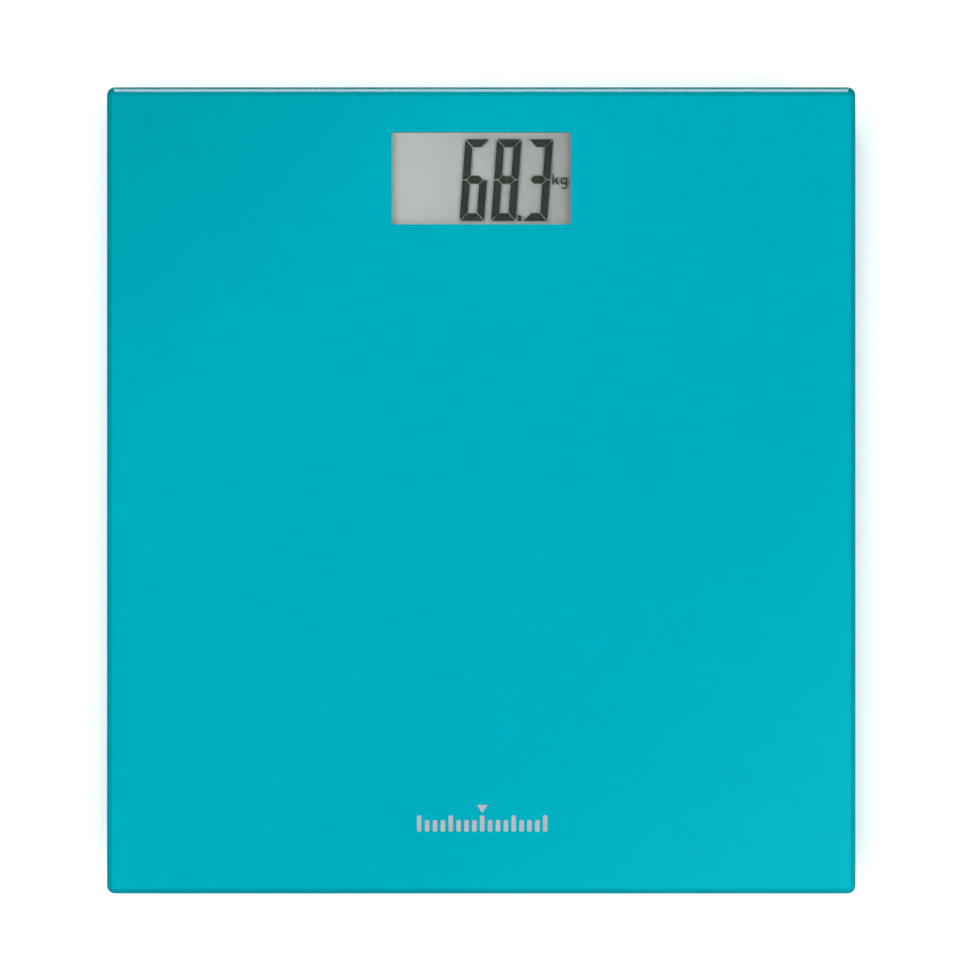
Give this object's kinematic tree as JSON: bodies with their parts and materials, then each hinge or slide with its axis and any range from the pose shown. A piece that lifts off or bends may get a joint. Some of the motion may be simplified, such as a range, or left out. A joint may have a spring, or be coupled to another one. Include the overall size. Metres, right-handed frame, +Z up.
{
  "type": "digital glass platform scale",
  "caption": "Thin electronic scale with a square-cornered teal tempered glass top, a segment display near the rear edge, sprung corner feet and a coin-cell flap underneath.",
  "frame": {"origin": "on the floor under the middle of the platform, level with the lowest points of the foot pads", "axes": "+Z up through the glass, +Y to the rear edge where the display is, +X to the right when the display reads upright"},
  "size_m": [0.285, 0.307, 0.022],
  "materials": {
    "tempered_glass": "clear, polished",
    "teal_print": "back-printed gloss",
    "foam_tape": "closed-cell foam",
    "tray_abs": "fine spark texture",
    "nickel_steel": "stamped, nickel plated",
    "white_sealant": "silicone",
    "lead_pvc": "extruded",
    "collar_abs": "fine spark texture",
    "foot_abs": "satin",
    "pad_rubber": "moulded",
    "zinc_screw": "zinc plated",
    "gasket_foam": "die-cut foam",
    "black_abs": "satin",
    "display_glass": "polarised",
    "reflector_film": "satin grey",
    "contact_elastomer": "layered",
    "circuit_laminate": "solder mask",
    "black_epoxy": "potted",
    "ceramic_chips": "fired",
    "crystal_can": "drawn",
    "switch_shell": "stamped",
    "plunger_nylon": "moulded",
    "button_abs": "satin",
    "cell_steel": "nickel plated",
    "spring_steel": "nickel plated",
    "label_film": "matt foil"
  },
  "bodies": {
    "base": {"glass_platform": "tempered_glass", "print_film": "teal_print", "bonding_tape": "foam_tape", "base_tray": "tray_abs", "collar_screws": "zinc_screw", "display_gasket": "gasket_foam", "display_frame": "black_abs", "lcd_cell": "display_glass", "lcd_reflector": "reflector_film", "zebra_strips": "contact_elastomer", "circuit_board": "circuit_laminate", "driver_chip": "black_epoxy", "chip_parts": "ceramic_chips", "crystal": "crystal_can", "display_screws": "zinc_screw", "tact_switch": "switch_shell", "coin_cell": "cell_steel", "battery_contact_minus": "spring_steel", "battery_contact_plus": "spring_steel", "battery_leads": "lead_pvc", "blank_label": "label_film", "load_cell_front_left": "nickel_steel", "strain_gauge_front_left": "white_sealant", "cell_leads_front_left": "lead_pvc", "foot_collar_front_left": "collar_abs", "load_cell_front_right": "nickel_steel", "strain_gauge_front_right": "white_sealant", "cell_leads_front_right": "lead_pvc", "foot_collar_front_right": "collar_abs", "load_cell_rear_left": "nickel_steel", "strain_gauge_rear_left": "white_sealant", "cell_leads_rear_left": "lead_pvc", "foot_collar_rear_left": "collar_abs", "load_cell_rear_right": "nickel_steel", "strain_gauge_rear_right": "white_sealant", "cell_leads_rear_right": "lead_pvc", "foot_collar_rear_right": "collar_abs"},
    "foot_front_left": {"foot_front_left": "foot_abs", "foot_pad_front_left": "pad_rubber"},
    "foot_front_right": {"foot_front_right": "foot_abs", "foot_pad_front_right": "pad_rubber"},
    "foot_rear_left": {"foot_rear_left": "foot_abs", "foot_pad_rear_left": "pad_rubber"},
    "foot_rear_right": {"foot_rear_right": "foot_abs", "foot_pad_rear_right": "pad_rubber"},
    "battery_flap": {"battery_flap": "tray_abs"},
    "unit_button": {"unit_button": "button_abs", "switch_plunger": "plunger_nylon"}
  },
  "joints": [
    {"name": "foot_front_left_drop", "type": "slide", "parent": "base", "child": "foot_front_left", "axis": [0, 0, 1], "range_m": [-0.00045, 0]},
    {"name": "foot_front_right_drop", "type": "slide", "parent": "base", "child": "foot_front_right", "axis": [0, 0, 1], "range_m": [-0.00045, 0]},
    {"name": "foot_rear_left_drop", "type": "slide", "parent": "base", "child": "foot_rear_left", "axis": [0, 0, 1], "range_m": [-0.00045, 0]},
    {"name": "foot_rear_right_drop", "type": "slide", "parent": "base", "child": "foot_rear_right", "axis": [0, 0, 1], "range_m": [-0.00045, 0]},
    {"name": "battery_flap_hinge", "type": "hinge", "parent": "base", "child": "battery_flap", "pos_m": [0, 0.0465, 0.0062], "axis": [-1, 0, 0], "range_deg": [0, 95]},
    {"name": "unit_button_press", "type": "slide", "parent": "base", "child": "unit_button", "axis": [0, 0, 1], "range_m": [0, 0.00025], "stiffness_N_per_m": 400}
  ]
}
